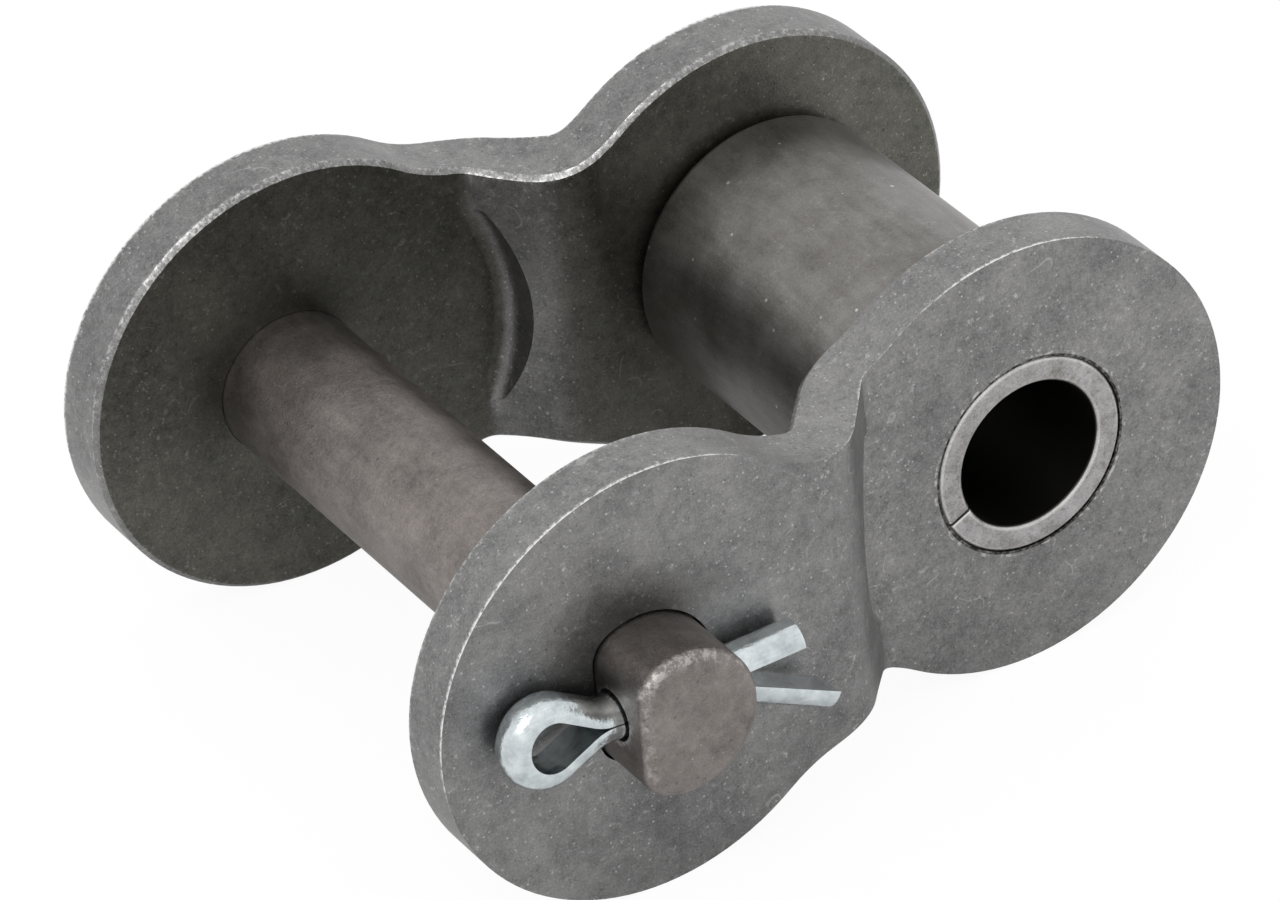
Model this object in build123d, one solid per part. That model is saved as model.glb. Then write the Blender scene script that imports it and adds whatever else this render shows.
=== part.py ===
"""Offset link of a roller chain: two cranked sidebars, a pressed bushing with its roller,
and a slip-fit pin held by a cotter. Lengths are in millimetres.

+X runs along the pitch, from the pin to the bushing. +Y runs along the bushing, from the
cotter side to the back. +Z is up, and the link stands on the lower edges of its sidebars.
The origin is the middle of the bushing's bore.
"""

from build123d import *
from math import atan2, cos, hypot, radians, sin, sqrt, tan
import os

# Chain
PITCH = 25.4
INNER_WIDTH = 21.4

# Sidebars
PLATE_THICKNESS = 3.2
PLATE_END_RADIUS = 12.0
PIN_END_INSET = 0.7
BUSHING_END_INSET = 0.5
WAIST_HALF_HEIGHT = 8.1
PLATE_GAP = 1.05
CRANK_RUN = 3.6
CRANK_SHIFT = 0.85
BEND_RADIUS = 1.2
RIM_CHAMFER = 0.25
INNER_RECESS_RADIUS = 13.0
OUTER_RECESS_RADIUS = 11.4
RECESS_FILLET = 1.0

# Bushing, curled from strip and pressed into both sidebars
BUSHING_OUTER_DIAMETER = 10.8
BUSHING_BORE_DIAMETER = 8.0
BUSHING_END_CHAMFER = 0.15
SEAM_WIDTH = 0.14
SEAM_DEPTH = 0.35
SEAM_ANGLE = 204

# Roller
ROLLER_DIAMETER = 14.9
ROLLER_SIDE_CLEARANCE = 0.15
ROLLER_RUNNING_CLEARANCE = 0.08
ROLLER_END_CHAMFER = 0.5

# Pin
PIN_DIAMETER = 7.92
PIN_HOLE_CLEARANCE = 0.03
D_HOLE_CLEARANCE = 0.12
FLAT_DISTANCE = 2.55
FLAT_CORNER_RADIUS = 1.7
SHOULDER_CLEARANCE = 0.05
TIP_LENGTH = 4.25
TIP_ROUND = 0.6
BACK_END_LENGTH = 0.7
BACK_END_CHAMFER = 0.5

# Cotter, folded from half-round wire
COTTER_DIAMETER = 2.3
COTTER_HOLE_CLEARANCE = 0.22
COTTER_STANDOFF = 0.25
COTTER_FOLD_GAP = 0.06
COTTER_SLOPE = -4.8
COTTER_ROLL = -8
EYE_RADIUS = 1.3
EYE_NECK = 3.75
EYE_CENTRE = 6.55
NECK_BEND_RADIUS = 2.5
LEG_BEND_RADIUS = 1.6
UPPER_LEG_START = 0.0
UPPER_LEG_REACH = 7.7
UPPER_LEG_ANGLE = 4.0
LOWER_LEG_START = 3.5
LOWER_LEG_REACH = 9.45
LOWER_LEG_ANGLE = 21.5

# Places worked out from the sizes above
narrow_inner = INNER_WIDTH / 2
narrow_outer = narrow_inner + PLATE_THICKNESS
wide_inner = narrow_outer + PLATE_GAP
wide_outer = wide_inner + PLATE_THICKNESS
pin_radius = PIN_DIAMETER / 2
bushing_radius = BUSHING_OUTER_DIAMETER / 2
cotter_radius = COTTER_DIAMETER / 2
cotter_y = -wide_outer - COTTER_STANDOFF - cotter_radius


def rod(radius, y_start, y_end, x=0.0):
    """A round bar along Y."""
    bar = extrude(Plane.XZ * Circle(radius), amount=y_start - y_end)
    return Pos(x, y_start, 0) * bar


def sidebar_outline():
    """Side view of a sidebar: two round ends joined by tangent waist arcs."""
    right_centre = -BUSHING_END_INSET
    left_centre = PIN_END_INSET - PITCH
    half_span = (right_centre - left_centre) / 2
    waist_x = (right_centre + left_centre) / 2
    waist_drop = half_span**2 + WAIST_HALF_HEIGHT**2 - PLATE_END_RADIUS**2
    waist_radius = waist_drop / (2 * (PLATE_END_RADIUS - WAIST_HALF_HEIGHT))
    reach = PLATE_END_RADIUS / (PLATE_END_RADIUS + waist_radius)
    touch_x = half_span * reach
    touch_z = (WAIST_HALF_HEIGHT + waist_radius) * reach
    right_top = (right_centre - touch_x, touch_z)
    right_bottom = (right_centre - touch_x, -touch_z)
    left_top = (left_centre + touch_x, touch_z)
    left_bottom = (left_centre + touch_x, -touch_z)
    outline = Curve() + [
        ThreePointArc(right_top, (right_centre + PLATE_END_RADIUS, 0), right_bottom),
        ThreePointArc(right_bottom, (waist_x, -WAIST_HALF_HEIGHT), left_bottom),
        ThreePointArc(left_bottom, (left_centre - PLATE_END_RADIUS, 0), left_top),
        ThreePointArc(left_top, (waist_x, WAIST_HALF_HEIGHT), right_top),
    ]
    return make_face(outline)


def cranked_strip():
    """Plan view of the front sidebar's bar, bent twice so that it steps in to the bushing."""
    step = wide_inner - narrow_inner
    slope = atan2(step, CRANK_RUN)
    corner_shift = PLATE_THICKNESS * tan(slope / 2) / 2
    crank_x = CRANK_SHIFT - PITCH / 2
    outer_start = crank_x - CRANK_RUN / 2 + corner_shift
    outer_end = outer_start + CRANK_RUN
    inner_start = outer_start - 2 * corner_shift
    inner_end = outer_end - 2 * corner_shift
    far_left = -PITCH - 2 * PLATE_END_RADIUS
    far_right = 2 * PLATE_END_RADIUS
    corners = [
        (far_left, -wide_outer),
        (outer_start, -wide_outer),
        (outer_end, -narrow_outer),
        (far_right, -narrow_outer),
        (far_right, -narrow_inner),
        (inner_end, -narrow_inner),
        (inner_start, -wide_inner),
        (far_left, -wide_inner),
    ]
    strip = make_face(Polyline(*corners, close=True))
    for corner, radius in (
        (corners[1], BEND_RADIUS + PLATE_THICKNESS),
        (corners[2], BEND_RADIUS),
        (corners[5], BEND_RADIUS + PLATE_THICKNESS),
        (corners[6], BEND_RADIUS),
    ):
        vertex = strip.vertices().sort_by_distance(corner)[0]
        strip = fillet(vertex, radius)
    return strip


def sidebar_blank():
    """The front sidebar as bent and coined round both axes, before its holes."""
    height = 2 * PLATE_END_RADIUS
    strip = extrude(cranked_strip(), amount=height, both=True)
    depth = 2 * wide_outer
    blank = strip & extrude(Plane.XZ * sidebar_outline(), amount=depth, both=True)
    blank = ease_rim(blank)
    blank = blank - recess_cutter(INNER_RECESS_RADIUS, -wide_inner, 0, -PITCH)
    return blank - recess_cutter(OUTER_RECESS_RADIUS, -narrow_outer, -2 * wide_outer, 0)


def recess_cutter(radius, floor, mouth, x):
    """A round cutter with a rounded end, so that it leaves a fillet round the floor."""
    cutter = rod(radius, floor, mouth, x)
    end = cutter.edges().filter_by(GeomType.CIRCLE).sort_by_distance((x, floor, 0))[0]
    return fillet(end, RECESS_FILLET)


def ease_rim(blank):
    """Eases the edge that runs round the inner face, as blanking leaves it."""
    inner_faces = [face for face in blank.faces() if face.normal_at(face.center()).Y > 0.3]
    rim = [edge for face in inner_faces for edge in face.edges() if edge.geom_type != GeomType.LINE]
    return chamfer(rim, RIM_CHAMFER)


def d_profile(radius, flat):
    """A circle with one side cut flat, seen along Y."""
    cut = Pos(-flat - radius, 0) * Rectangle(2 * radius, 4 * radius)
    profile = Circle(radius) - cut
    return fillet(profile.vertices(), FLAT_CORNER_RADIUS)


def front_sidebar():
    hole_shape = d_profile(pin_radius + D_HOLE_CLEARANCE, FLAT_DISTANCE + D_HOLE_CLEARANCE)
    hole = extrude(Plane.XZ * hole_shape, amount=2 * wide_outer)
    plate = sidebar_blank() - Pos(-PITCH, 0, 0) * hole
    return plate - rod(bushing_radius, -2 * wide_outer, 0)


def back_sidebar():
    plate = mirror(sidebar_blank(), about=Plane.XZ)
    plate = plate - rod(pin_radius + PIN_HOLE_CLEARANCE, 0, 2 * wide_outer, x=-PITCH)
    return plate - rod(bushing_radius, 0, 2 * wide_outer)


def bushing():
    tube = rod(bushing_radius, -narrow_outer, narrow_outer)
    tube = tube - rod(BUSHING_BORE_DIAMETER / 2, -narrow_outer, narrow_outer)
    tube = chamfer(tube.edges().filter_by(GeomType.CIRCLE), BUSHING_END_CHAMFER)
    wall_middle = (bushing_radius + BUSHING_BORE_DIAMETER / 2) / 2
    for end in (-narrow_outer, narrow_outer):
        mark = Box(bushing_radius, 2 * SEAM_DEPTH, SEAM_WIDTH)
        tube = tube - Rot(0, -SEAM_ANGLE, 0) * Pos(wall_middle, end, 0) * mark
    return tube


def roller():
    half_length = narrow_inner - ROLLER_SIDE_CLEARANCE
    barrel = rod(ROLLER_DIAMETER / 2, -half_length, half_length)
    barrel = chamfer(barrel.edges().filter_by(GeomType.CIRCLE), ROLLER_END_CHAMFER)
    return barrel - rod(bushing_radius + ROLLER_RUNNING_CLEARANCE, -half_length, half_length)


def pin():
    tip = -wide_outer - TIP_LENGTH
    back = wide_outer + BACK_END_LENGTH
    flat_length = SHOULDER_CLEARANCE - wide_inner - tip
    body = Rot(0, 90, 0) * rod(pin_radius, tip, back)
    flat = Box(PIN_DIAMETER, flat_length, 2 * PIN_DIAMETER)
    body = body - Pos(-FLAT_DISTANCE - pin_radius, tip + flat_length / 2, 0) * flat
    flat_sides = [edge for edge in body.edges().filter_by(Axis.Y) if edge.length < 1.1 * flat_length]
    body = fillet(flat_sides, FLAT_CORNER_RADIUS)
    body = fillet(body.faces().sort_by(Axis.Y)[0].edges(), TIP_ROUND)
    body = chamfer(body.faces().sort_by(Axis.Y)[-1].edges(), BACK_END_CHAMFER)
    drill = Cylinder(cotter_radius + COTTER_HOLE_CLEARANCE, 4 * pin_radius, rotation=(0, 90, 0))
    body = body - Rot(0, -COTTER_SLOPE, 0) * drill.moved(Location((0, cotter_y, 0)))
    return Pos(-PITCH, 0, 0) * body


def cotter_path():
    """The flat side of the folded wire, from the upper leg round the eye to the lower leg."""
    half_gap = COTTER_FOLD_GAP / 2
    neck_run = EYE_CENTRE - EYE_NECK
    neck_reach = hypot(neck_run, half_gap)
    touch_angle = atan2(half_gap, neck_run) + atan2(sqrt(neck_reach**2 - EYE_RADIUS**2), EYE_RADIUS)
    touch_x = EYE_RADIUS * cos(touch_angle) - EYE_CENTRE
    touch_y = EYE_RADIUS * sin(touch_angle)
    bends = [LEG_BEND_RADIUS, NECK_BEND_RADIUS]

    def half(side, start, reach, angle):
        spread = (reach - start) * tan(radians(angle))
        return [
            (reach, side * (half_gap + spread)),
            (start, side * half_gap),
            (-EYE_NECK, side * half_gap),
            (touch_x, side * touch_y),
        ]

    upper = FilletPolyline(*half(1, UPPER_LEG_START, UPPER_LEG_REACH, UPPER_LEG_ANGLE), radius=bends)
    eye = ThreePointArc((touch_x, touch_y), (-EYE_CENTRE - EYE_RADIUS, 0), (touch_x, -touch_y))
    lower = FilletPolyline(*half(-1, LOWER_LEG_START, LOWER_LEG_REACH, LOWER_LEG_ANGLE)[::-1], radius=bends[::-1])
    return Wire([*upper.edges(), eye, *lower.edges()])


def cotter_pin():
    path = cotter_path()
    heading = path % 0
    section_plane = Plane(origin=path @ 0, x_dir=heading.cross(Vector(0, 0, 1)), z_dir=heading)
    half_disc = Circle(cotter_radius) & Pos(cotter_radius, 0) * Rectangle(COTTER_DIAMETER, COTTER_DIAMETER)
    wire = sweep(section_plane * half_disc, path=path)
    turned = Rot(0, -COTTER_SLOPE, 0) * Rot(COTTER_ROLL, 0, 0) * Rot(90, 0, 0) * wire
    return Pos(-PITCH, cotter_y, 0) * turned


PARTS = {
    "front_sidebar": front_sidebar,
    "back_sidebar": back_sidebar,
    "bushing": bushing,
    "roller": roller,
    "pin": pin,
    "cotter_pin": cotter_pin,
}

os.makedirs("parts", exist_ok=True)
for name, make in PARTS.items():
    export_step(make(), f"parts/{name}.step")
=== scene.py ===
"""Studio picture of a roller chain's offset link: finishes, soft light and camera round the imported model."""

from math import cos, pi, radians, sin

import bpy
from mathutils import Matrix, Vector

MM = 0.001

# The link, as packed
PITCH = 25.4 * MM
PLATE_END_RADIUS = 12.0 * MM
SEAM_TURN = radians(204)

# Camera, matched to the photograph
PICTURE_SIZE = (1280, 900)
CAMERA_AZIMUTH = -29.52
CAMERA_ELEVATION = 34.42
CAMERA_ROLL = -5.41
CAMERA_DISTANCE = 441.3 * MM
CAMERA_ASIDE = -1.088 * MM
CAMERA_RAISED = -1.381 * MM
FOCAL_PIXELS = 8863
SENSOR_WIDTH = 36.0

# Light
FLOOR_GLOW = 0.92
PAPER_GLOW = 1.02
SKY_STRENGTH = 0.9

# Edges as the tumbling barrel leaves them
EDGE_ANGLE = radians(28)
EDGE_WIDTHS = {
    "front_sidebar": 0.12 * MM,
    "back_sidebar": 0.12 * MM,
    "bushing": 0.08 * MM,
    "roller": 0.20 * MM,
    "pin": 0.12 * MM,
    "cotter_pin": 0.08 * MM,
}


class Value:
    """A socket of a node tree. Arithmetic on it adds the Math nodes."""

    def __init__(self, finish, socket):
        self.finish = finish
        self.socket = socket

    def math(self, operation, *others):
        return self.finish.node("Math", {"operation": operation}, dict(enumerate((self, *others))))

    def __add__(self, other):
        return self.math("ADD", other)

    def __sub__(self, other):
        return self.math("SUBTRACT", other)

    def __mul__(self, other):
        return self.math("MULTIPLY", other)

    def __rsub__(self, other):
        return self.finish.node("Math", {"operation": "SUBTRACT"}, {0: other, 1: self})

    __radd__ = __add__
    __rmul__ = __mul__

    def between(self, low, high):
        """0 below low, 1 above high, and smooth between them."""
        settings = {"interpolation_type": "SMOOTHSTEP"}
        return self.finish.node("MapRange", settings, {"Value": self, "From Min": low, "From Max": high})

    def near(self, middle, width):
        """1 where the value is within that width of the middle, and 0 elsewhere."""
        return 1 - (self - middle).math("ABSOLUTE").between(width / 2, width)

    def colour(self, dark, light):
        """A colour that runs from dark to light as the value runs from 0 to 1."""
        ends = {"Factor": self, 6: colour_input(dark), 7: colour_input(light)}
        return self.finish.node("Mix", {"data_type": "RGBA"}, ends, output=2)


def colour_input(colour):
    return colour if isinstance(colour, Value) else (*colour, 1)


class Finish:
    """The material of one piece, built up from nodes on Object coordinates."""

    def __init__(self, name):
        self.material = bpy.data.materials.new(name)
        self.material.use_nodes = True
        self.tree = self.material.node_tree
        self.tree.nodes.clear()
        self.place = self.node("TexCoord", output="Object")
        self.normal = self.node("NewGeometry", output="Normal")

    def node(self, kind, settings=None, inputs=None, output=0):
        names = ("ShaderNode" + kind, "ShaderNodeTex" + kind)
        found = names[0] if hasattr(bpy.types, names[0]) else names[1]
        made = self.tree.nodes.new(found)
        for setting, value in (settings or {}).items():
            setattr(made, setting, value)
        for key, value in (inputs or {}).items():
            if isinstance(value, Value):
                self.tree.links.new(value.socket, made.inputs[key])
            else:
                made.inputs[key].default_value = value
        return Value(self, made.outputs[output])

    def moved(self, seed, stretch):
        inputs = {"Vector": self.place, "Location": (seed * MM, seed * MM, seed * MM), "Scale": stretch}
        return self.node("Mapping", {}, inputs)

    def noise(self, size, detail=2.0, roughness=0.5, seed=0.0, stretch=(1, 1, 1)):
        """Cloudy noise whose patches are about that many metres across."""
        inputs = {"Vector": self.moved(seed, stretch), "Scale": 1 / size, "Detail": detail, "Roughness": roughness}
        return self.node("Noise", {"noise_dimensions": "3D"}, inputs)

    def specks(self, spacing, radius, share, seed=0.0, stretch=(1, 1, 1)):
        """Scattered round dots, in the patches that a noise lets through."""
        inputs = {"Vector": self.moved(seed, stretch), "Scale": 1 / spacing}
        away = self.node("Voronoi", {"feature": "F1"}, inputs, output="Distance")
        dots = 1 - away.between(0.5 * radius / spacing, radius / spacing)
        return dots * self.noise(3 * spacing, seed=seed + 1).between(0.62 - 0.3 * share, 0.68 - 0.3 * share)

    def scratches(self, size, width, share, seed=0.0, stretch=(1, 1, 1)):
        """Short thin curved marks, along the level lines of a noise."""
        line = self.noise(size, detail=0.5, seed=seed, stretch=stretch).near(0.5, width)
        patch = self.noise(0.8 * size, detail=1, seed=seed + 5)
        return line * patch.between(0.64 - 0.3 * share, 0.68 - 0.3 * share)

    def edges(self, width):
        """1 on the outward corners of the piece, fading out over that width."""
        settings = {"inside": True, "only_local": True, "samples": 6}
        open_share = self.node("AmbientOcclusion", settings, {"Distance": width}, output="AO")
        return (1 - open_share) * 2

    def radius(self, x):
        """Distance from the axis across the link that passes through that x."""
        flat = self.node("VectorMath", {"operation": "MULTIPLY_ADD"}, {0: self.place, 1: (1, 0, 1), 2: (-x, 0, 0)})
        return self.node("VectorMath", {"operation": "LENGTH"}, {0: flat}, output="Value")

    def along(self, vector, way):
        """How far a vector reaches in that direction."""
        return self.node("VectorMath", {"operation": "DOT_PRODUCT"}, {0: vector, 1: way}, output="Value")

    def inward(self, low, high):
        """1 on faces that look to the middle of the link, across its width, and 0 elsewhere."""
        side = self.along(self.place, (0, -1, 0)).math("SIGN")
        return (self.along(self.normal, (0, 1, 0)) * side).between(low, high)

    def facing(self, way, start=0.0):
        """1 on faces that look that way, fading to 0 where they turn off to that start."""
        return self.along(self.normal, way).between(start, 0.8)

    def times(self, colour, factor):
        """A colour times another, channel by channel."""
        return self.node("VectorMath", {"operation": "MULTIPLY"}, {0: colour, 1: factor})

    def bump(self, height, strength, depth):
        return self.node("Bump", {}, {"Height": height, "Strength": strength, "Distance": depth})

    def metal(self, colour, roughness, normal):
        """Ends the tree in a metal surface."""
        inputs = {"Base Color": colour, "Roughness": roughness, "Metallic": 1.0, "Normal": normal}
        self.finish(self.node("BsdfPrincipled", {}, inputs))
        return self.material

    def finish(self, surface):
        end = self.tree.nodes.new("ShaderNodeOutputMaterial")
        self.tree.links.new(surface.socket, end.inputs["Surface"])


def plate_steel():
    """Hardened plate, dark and satin from tumbling, with pale dings, painted shade on the faces between the plates, a
    painted dark reflection of the pin above it, and a thin burnished edge brightened as a painted highlight where it
    faces up and left.
    """
    finish = Finish("plate_steel")
    cloud = finish.noise(7 * MM, detail=3)
    patch = finish.noise(2.2 * MM, detail=4, roughness=0.6, seed=33)
    mottle = finish.noise(0.6 * MM, detail=4, roughness=0.7, seed=3)
    grain = finish.noise(0.13 * MM, detail=2, roughness=0.7, seed=11)
    specks = finish.specks(0.5 * MM, 0.075 * MM, 0.9, seed=21)
    dots = finish.specks(0.24 * MM, 0.05 * MM, 0.7, seed=37)
    pits = finish.specks(0.6 * MM, 0.08 * MM, 0.8, seed=71)
    flecks = finish.noise(0.45 * MM, detail=5, roughness=0.75, seed=50).between(0.57, 0.70)
    clusters = finish.noise(2.5 * MM, detail=2, seed=61).between(0.35, 0.65)
    scratches = finish.scratches(2.2 * MM, 0.010, 0.0, seed=50)
    tone = cloud * 0.6 + patch * 0.7 + mottle * 0.9 + grain * 1.0 - 1.1
    base = tone.colour((0.11, 0.11, 0.112), (0.36, 0.355, 0.35))
    marks = (specks * 0.6 + dots * 0.3 + scratches * 0.3 + flecks * (0.15 + 0.5 * clusters)).math("MINIMUM", 1.0)
    marked = (pits * 0.5).colour(marks.colour(base, (0.62, 0.62, 0.62)), (0.06, 0.06, 0.06))
    # Painted shade: faces that look inward, between the two plates, are darkened and tinted olive.
    painted_shade_inside = finish.times(marked, (0.60, 0.60, 0.53))
    skin = finish.inward(0.66, 0.98).colour(marked, painted_shade_inside)
    ragged = finish.noise(0.28 * MM, detail=4, roughness=0.7, seed=83).between(0.36, 0.60)
    inner_side = finish.inward(0.1, 0.3)
    past_waist = (finish.along(finish.place, (1, 0, 0)) + 10.5 * MM).math("ABSOLUTE").between(5 * MM, 8 * MM)
    # Worn edges with a painted highlight: the pale edge is strongest where it faces up and to the left, as if lit from
    # there.
    lit = 0.1 + 0.9 * finish.facing((-0.6, 0, 0.8), 0.25)
    lit_inside = 0.1 + 0.9 * finish.facing((-0.3, 0, 0.95), 0.25)
    wide_edge = finish.edges(0.30 * MM) * (1 + 1.8 * lit_inside) * ragged * inner_side
    thin_edge = finish.edges(0.24 * MM) * (0.6 + 1.8 * ragged) * lit * (1 - inner_side) * (0.3 + 0.7 * past_waist)
    from_bushing = finish.radius(0)
    from_pin = finish.radius(-PITCH)
    open_metal = from_bushing.between(7 * MM, 7.5 * MM) * from_pin.between(5.5 * MM, 6 * MM)
    corner = (wide_edge + thin_edge) * (grain * 0.8 + mottle) * open_metal
    burnish_and_highlight = corner.between(0.3, 0.95)
    # Painted dark reflection of the pin: the plate is darkened close to the pin hole, above and to the left of it.
    above_pin = (finish.along(finish.place, (-0.5, 0, 0.87)) - 0.5 * PITCH).between(-1 * MM, 3 * MM)
    pin_reflection_paint = (1 - from_pin.between(4.2 * MM, 7.5 * MM)) * above_pin * (0.5 + patch)
    with_pin_reflection = (pin_reflection_paint * 0.6).colour(skin, (0.045, 0.045, 0.04))
    burr = from_bushing.near(5.62 * MM, 0.12 * MM) * finish.noise(0.4 * MM, detail=3, seed=90).between(0.52, 0.66)
    joint = from_bushing.near(5.45 * MM, 0.11 * MM) * (0.15 + 0.9 * ragged)
    seated = joint.colour((burr * 0.7).colour(with_pin_reflection, (0.62, 0.62, 0.61)), (0.03, 0.028, 0.025))
    # Pale worn edges, brighter on their upper-left side as a painted highlight.
    colour = (burnish_and_highlight * 0.9).colour(seated, (0.95, 0.95, 0.94))
    roughness = 0.32 + mottle * 0.14 - burnish_and_highlight * 0.08
    height = grain * 0.5 + mottle * 0.8 + flecks * 0.4 - specks * 0.4 - pits * 0.4
    return finish.metal(colour, roughness, finish.bump(height, 0.4, 0.04 * MM))


def roller_steel():
    """Case-hardened roller: smooth, brownish grey, with a few light specks."""
    finish = Finish("roller_steel")
    cloud = finish.noise(3 * MM, detail=4, roughness=0.6)
    grain = finish.noise(0.12 * MM, detail=2, seed=2)
    around = finish.noise(0.5 * MM, detail=3, seed=4, stretch=(1, 0.2, 1))
    specks = finish.specks(1.1 * MM, 0.07 * MM, 0.6, seed=7)
    flecks = finish.noise(0.6 * MM, detail=5, roughness=0.75, seed=53).between(0.58, 0.72)
    tone = cloud * 1.3 + around * 0.5 + grain * 0.7 - 0.75
    base = tone.colour((0.115, 0.107, 0.098), (0.32, 0.31, 0.30))
    dings = finish.specks(1.7 * MM, 0.13 * MM, 0.9, seed=91)
    marks = (dings + specks * 0.6 + flecks * 0.25 + finish.edges(0.15 * MM) * 0.4).math("MINIMUM", 1.0)
    colour = marks.colour(base, (0.6, 0.59, 0.58))
    roughness = 0.28 + cloud * 0.18
    return finish.metal(colour, roughness, finish.bump(grain + around * 2, 0.25, 0.03 * MM))


def pin_steel():
    """Case-hardened pin: warm brownish grey, with a rough pale worn rim round the sheared tip that is brighter, as a
    painted highlight, where it faces up.
    """
    finish = Finish("pin_steel")
    cloud = finish.noise(2.5 * MM, detail=4, roughness=0.6)
    blotch = finish.noise(0.5 * MM, detail=4, roughness=0.7, seed=9)
    grain = finish.noise(0.12 * MM, detail=3, roughness=0.7, seed=2)
    turned = finish.noise(0.6 * MM, detail=2, seed=6, stretch=(1, 0.15, 1))
    specks = finish.specks(0.7 * MM, 0.06 * MM, 0.5, seed=17)
    flecks = finish.noise(0.4 * MM, detail=5, roughness=0.75, seed=52).between(0.6, 0.72)
    pits = finish.specks(0.9 * MM, 0.12 * MM, 0.8, seed=41)
    tone = cloud * 1.1 + blotch * 0.7 + grain * 1.0 + turned * 0.4 - 1.1
    base = tone.colour((0.115, 0.103, 0.095), (0.35, 0.315, 0.30))
    # Worn pale rim round the tip, brightened as a painted highlight where it faces up and to the front left.
    rim = finish.edges(0.6 * MM) * (0.3 + 0.7 * finish.facing((-0.3, -0.3, 0.9)))
    ragged = finish.noise(0.35 * MM, detail=4, roughness=0.7, seed=83).between(0.40, 0.62)
    edge_wear_and_highlight = (rim * (ragged + 0.1)).between(0.12, 0.36)
    marks = (edge_wear_and_highlight * 0.85 + specks * 0.4 + flecks * 0.2).math("MINIMUM", 1.0)
    colour = (pits * 0.4).colour(marks.colour(base, (0.72, 0.69, 0.67)), (0.07, 0.06, 0.055))
    roughness = 0.34 + cloud * 0.15
    return finish.metal(colour, roughness, finish.bump(grain + blotch * 1.5, 0.35, 0.05 * MM))


def bushing_steel():
    """Curled bushing: mottled pale end ring with worn edges, brighter as a painted highlight on their upper-left side,
    and a bore painted near-black as shade.
    """
    finish = Finish("bushing_steel")
    cloud = finish.noise(0.9 * MM, detail=4, roughness=0.65)
    grain = finish.noise(0.12 * MM, detail=3, roughness=0.7, seed=2)
    oil = finish.noise(0.5 * MM, detail=4, roughness=0.7, seed=19).between(0.54, 0.68)
    tone = cloud * 1.6 + grain * 1.6 - 1.1
    ring = (oil * 0.5).colour(tone.colour((0.24, 0.23, 0.22), (0.54, 0.525, 0.535)), (0.16, 0.15, 0.10))
    # Painted shade: the inside of the bore is coloured near-black.
    shaded_bore = 1 - finish.radius(0).between(4.03 * MM, 4.1 * MM)
    base = shaded_bore.colour(ring, (0.035, 0.034, 0.03))
    # Worn pale edges of the end ring, brightened as a painted highlight where they face up and to the front left.
    edge_wear_and_highlight = (finish.edges(0.18 * MM) * (1 - shaded_bore) * finish.facing((-0.6, -0.4, 0.7)) * (cloud + 0.7)).between(0.06, 0.3)
    across = finish.along(finish.place, (-sin(SEAM_TURN), 0, cos(SEAM_TURN)))
    outward = finish.along(finish.place, (cos(SEAM_TURN), 0, sin(SEAM_TURN)))
    seam = across.near(0, 0.13 * MM) * outward.between(0, 1 * MM) * 0.8
    colour = seam.colour(edge_wear_and_highlight.colour(base, (0.95, 0.94, 0.93)), (0.05, 0.045, 0.04))
    roughness = 0.36 + grain * 0.2
    return finish.metal(colour, roughness, finish.bump(grain + cloud, 0.35, 0.04 * MM))


def zinc_wire():
    """Bright zinc-plated half-round wire."""
    finish = Finish("zinc_wire")
    cloud = finish.noise(0.9 * MM, detail=4, roughness=0.6)
    drawn = finish.noise(0.14 * MM, detail=2, seed=2, stretch=(0.12, 1, 1))
    tone = cloud * 1.4 + drawn * 0.3 - 0.35
    base = tone.colour((0.34, 0.385, 0.40), (0.89, 0.95, 0.97))
    roughness = 0.13 + cloud * 0.12
    return finish.metal(base, roughness, finish.bump(drawn * 0.4 + cloud * 3, 0.35, 0.05 * MM))


def floor_white():
    """Pale floor that reads as white paper to the camera and keeps a faint shadow."""
    finish = Finish("floor_white")
    paper = finish.node("BsdfDiffuse", {}, {"Color": (0.9, 0.9, 0.9, 1)})
    glow = finish.node("Emission", {}, {"Color": (1, 1, 1, 1), "Strength": PAPER_GLOW})
    seen = finish.node("LightPath", output="Is Camera Ray")
    finish.finish(finish.node("MixShader", {}, {0: seen * FLOOR_GLOW, 1: paper, 2: glow}))
    return finish.material


def dress(node, material):
    """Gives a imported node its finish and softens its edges."""
    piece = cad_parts[node]
    piece.data.materials.clear()
    piece.data.materials.append(material)
    piece.data.polygons.foreach_set("use_smooth", [True] * len(piece.data.polygons))
    weld = piece.modifiers.new("weld", "WELD")
    weld.merge_threshold = 0.001 * MM
    bevel = piece.modifiers.new("soft_edges", "BEVEL")
    bevel.limit_method = "ANGLE"
    bevel.angle_limit = EDGE_ANGLE
    bevel.width = EDGE_WIDTHS[node]
    bevel.segments = 2
    bevel.use_clamp_overlap = True
    bevel.harden_normals = False
    normals = piece.modifiers.new("flat_faces", "WEIGHTED_NORMAL")
    normals.mode = "FACE_AREA"
    normals.keep_sharp = True


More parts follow.
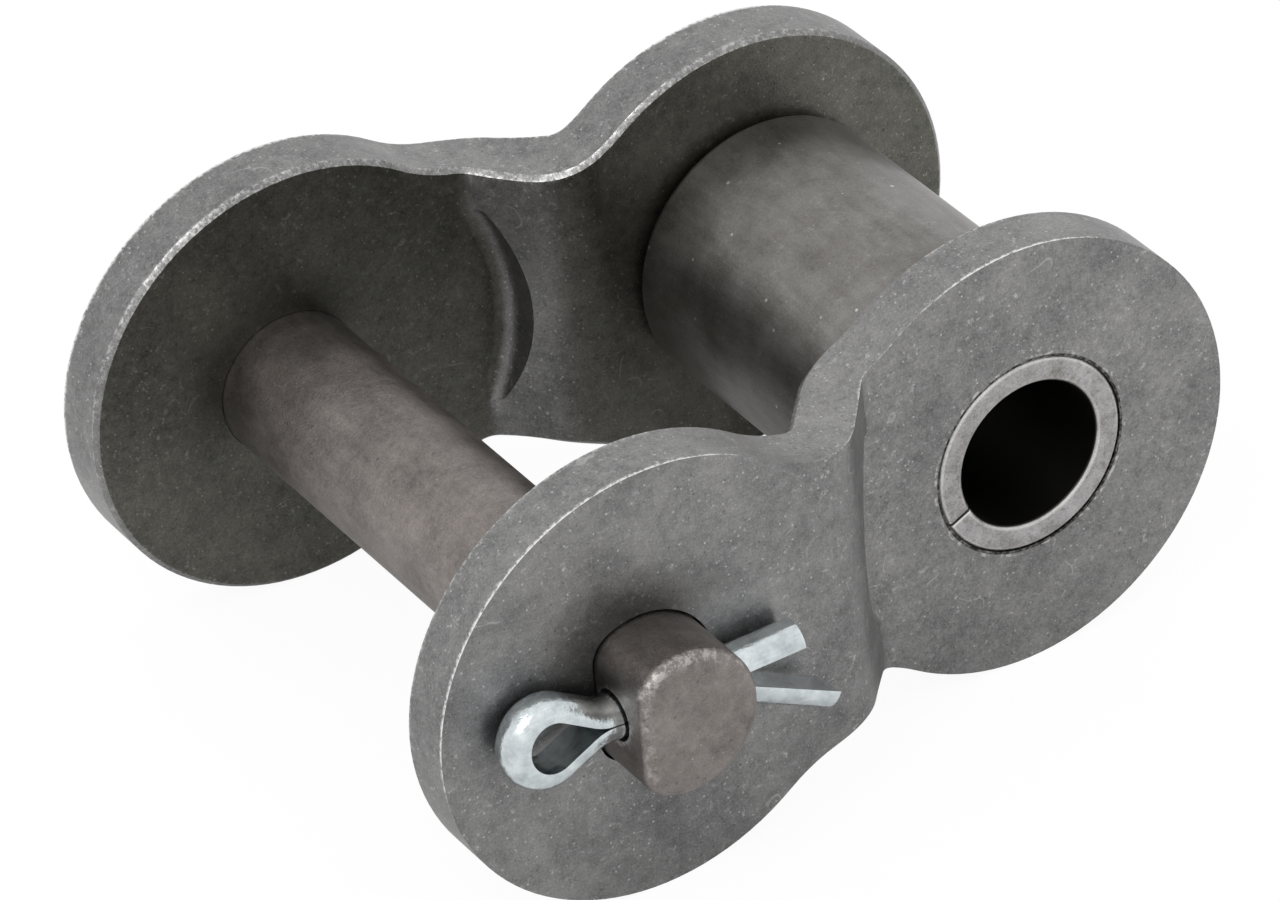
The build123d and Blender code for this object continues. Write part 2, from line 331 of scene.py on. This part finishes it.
def add_camera():
    azimuth = radians(CAMERA_AZIMUTH)
    elevation = radians(CAMERA_ELEVATION)
    roll = radians(CAMERA_ROLL)
    back = Vector((sin(azimuth) * cos(elevation), -cos(azimuth) * cos(elevation), sin(elevation)))
    level = Vector((cos(azimuth), sin(azimuth), 0))
    upright = back.cross(level)
    right = cos(roll) * level + sin(roll) * upright
    up = cos(roll) * upright - sin(roll) * level
    middle = Vector((-PITCH / 2, 0, 0))
    place = middle + CAMERA_DISTANCE * back + CAMERA_ASIDE * right + CAMERA_RAISED * up
    data = bpy.data.cameras.new("camera")
    data.sensor_width = SENSOR_WIDTH
    data.lens = SENSOR_WIDTH * FOCAL_PIXELS / PICTURE_SIZE[0]
    data.clip_start = 0.01
    camera = bpy.data.objects.new("camera", data)
    turned = Matrix((right, up, back)).transposed().to_4x4()
    camera.matrix_world = Matrix.Translation(place) @ turned
    bpy.context.scene.collection.objects.link(camera)
    bpy.context.scene.camera = camera


def add_lamp(name, azimuth, elevation, distance, size, power):
    """A square soft box that faces the link."""
    turn = radians(azimuth)
    lift = radians(elevation)
    aim = Vector((-PITCH / 2, 0, 0))
    away = Vector((sin(turn) * cos(lift), -cos(turn) * cos(lift), sin(lift)))
    data = bpy.data.lights.new(name, "AREA")
    data.size = size
    data.energy = power
    lamp = bpy.data.objects.new(name, data)
    lamp.location = aim + distance * away
    lamp.rotation_euler = away.to_track_quat("Z", "Y").to_euler()
    bpy.context.scene.collection.objects.link(lamp)


def add_world():
    """White all round to the camera and to metal, a little weaker on the floor."""
    world = bpy.data.worlds.new("studio")
    world.use_nodes = True
    tree = world.node_tree
    tree.nodes.clear()
    path = tree.nodes.new("ShaderNodeLightPath")
    white_rays = tree.nodes.new("ShaderNodeMath")
    white_rays.operation = "ADD"
    strength = tree.nodes.new("ShaderNodeMapRange")
    strength.inputs["To Min"].default_value = SKY_STRENGTH
    sky = tree.nodes.new("ShaderNodeBackground")
    sky.inputs["Color"].default_value = (1, 1, 1, 1)
    end = tree.nodes.new("ShaderNodeOutputWorld")
    tree.links.new(path.outputs["Is Camera Ray"], white_rays.inputs[0])
    tree.links.new(path.outputs["Is Glossy Ray"], white_rays.inputs[1])
    tree.links.new(white_rays.outputs[0], strength.inputs["Value"])
    tree.links.new(strength.outputs["Result"], sky.inputs["Strength"])
    tree.links.new(sky.outputs[0], end.inputs["Surface"])
    bpy.context.scene.world = world


def add_floor():
    bpy.ops.mesh.primitive_plane_add(size=6, location=(0, 0, -PLATE_END_RADIUS))
    floor = bpy.context.object
    floor.name = "floor"
    floor.data.materials.append(floor_white())


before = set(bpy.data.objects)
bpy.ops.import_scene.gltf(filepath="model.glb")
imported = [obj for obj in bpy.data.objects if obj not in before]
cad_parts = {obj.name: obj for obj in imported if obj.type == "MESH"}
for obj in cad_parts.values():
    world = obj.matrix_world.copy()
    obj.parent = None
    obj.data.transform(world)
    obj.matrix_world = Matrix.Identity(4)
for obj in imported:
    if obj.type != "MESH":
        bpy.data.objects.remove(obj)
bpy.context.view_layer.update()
bpy.ops.object.select_all(action="DESELECT")
for old in [thing for thing in bpy.data.objects if thing.type in ("CAMERA", "LIGHT")]:
    bpy.data.objects.remove(old)

plates = plate_steel()
for node, material in {
    "front_sidebar": plates,
    "back_sidebar": plates,
    "bushing": bushing_steel(),
    "roller": roller_steel(),
    "pin": pin_steel(),
    "cotter_pin": zinc_wire(),
}.items():
    dress(node, material)

add_camera()
add_world()
add_floor()
add_lamp("key", -50, 50, 0.5, 0.25, 0.5)
bpy.context.scene.view_settings.view_transform = "Standard"
